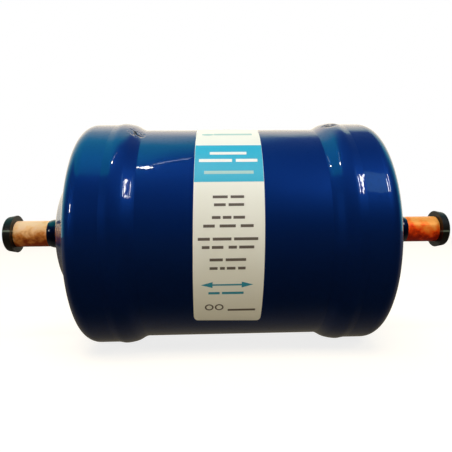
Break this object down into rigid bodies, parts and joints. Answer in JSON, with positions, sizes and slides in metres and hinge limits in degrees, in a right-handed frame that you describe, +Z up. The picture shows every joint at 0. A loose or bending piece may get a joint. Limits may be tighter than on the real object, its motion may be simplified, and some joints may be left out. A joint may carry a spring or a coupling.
{
  "type": "filter drier",
  "caption": "Bi-flow refrigerant filter drier: blue welded steel shell with copper solder stubs, rubber plugs, and a desiccant core between check-valve plates.",
  "frame": {"origin": "middle of the body on the axis of flow", "axes": "+X along the axis of flow to the right of the label, -Y out of the label, +Z up"},
  "size_m": [0.1386, 0.0674, 0.0674],
  "materials": {
    "navy_enamel": "glossy navy-blue powder coat",
    "copper": "drawn copper, heat-stained beside the brazed joint",
    "black_rubber": "moulded matt black rubber",
    "label_film": "satin printed film",
    "moulded_desiccant": "porous moulded molecular sieve",
    "zinc_plated_steel": "bright zinc plate",
    "spring_steel": "polished spring steel",
    "felt": "pressed fibre felt",
    "moulded_nylon": "natural moulded nylon"
  },
  "bodies": {
    "drier": {"shell_tube": "navy_enamel", "left_end_cap": "navy_enamel", "left_weld_bead": "navy_enamel", "left_braze_ring": "navy_enamel", "right_end_cap": "navy_enamel", "right_weld_bead": "navy_enamel", "right_braze_ring": "navy_enamel", "label": "label_film", "desiccant_core": "moulded_desiccant", "core_screen": "zinc_plated_steel", "pack_spring": "spring_steel", "left_stub": "copper", "left_core_gasket": "felt", "left_core_holder": "zinc_plated_steel", "left_valve_plate": "zinc_plated_steel", "left_valve_cage": "zinc_plated_steel", "left_intake_spring": "spring_steel", "left_outlet_spring": "spring_steel", "right_stub": "copper", "right_core_gasket": "felt", "right_core_holder": "zinc_plated_steel", "right_valve_plate": "zinc_plated_steel", "right_valve_cage": "zinc_plated_steel", "right_intake_spring": "spring_steel", "right_outlet_spring": "spring_steel"},
    "left_plug": {"left_plug": "black_rubber"},
    "right_plug": {"right_plug": "black_rubber"},
    "left_intake_valve": {"left_intake_valve": "spring_steel"},
    "left_outlet_valve": {"left_outlet_valve": "moulded_nylon"},
    "right_intake_valve": {"right_intake_valve": "spring_steel"},
    "right_outlet_valve": {"right_outlet_valve": "moulded_nylon"}
  },
  "joints": [
    {"name": "left_plug_pull", "type": "slide", "parent": "drier", "child": "left_plug", "axis": [-1, 0, 0], "range_m": [0, 0.05]},
    {"name": "left_intake_valve_lift", "type": "slide", "parent": "drier", "child": "left_intake_valve", "axis": [1, 0, 0], "range_m": [0, 0.0015], "stiffness_N_per_m": 50, "springref_m": -0.002, "deforming": ["left_intake_spring"]},
    {"name": "left_outlet_valve_lift", "type": "slide", "parent": "drier", "child": "left_outlet_valve", "axis": [-1, 0, 0], "range_m": [0, 0.0015], "stiffness_N_per_m": 20, "springref_m": -0.002, "deforming": ["left_outlet_spring"]},
    {"name": "right_plug_pull", "type": "slide", "parent": "drier", "child": "right_plug", "axis": [1, 0, 0], "range_m": [0, 0.05]},
    {"name": "right_intake_valve_lift", "type": "slide", "parent": "drier", "child": "right_intake_valve", "axis": [-1, 0, 0], "range_m": [0, 0.0015], "stiffness_N_per_m": 50, "springref_m": -0.002, "deforming": ["right_intake_spring"]},
    {"name": "right_outlet_valve_lift", "type": "slide", "parent": "drier", "child": "right_outlet_valve", "axis": [1, 0, 0], "range_m": [0, 0.0015], "stiffness_N_per_m": 20, "springref_m": -0.002, "deforming": ["right_outlet_spring"]}
  ]
}
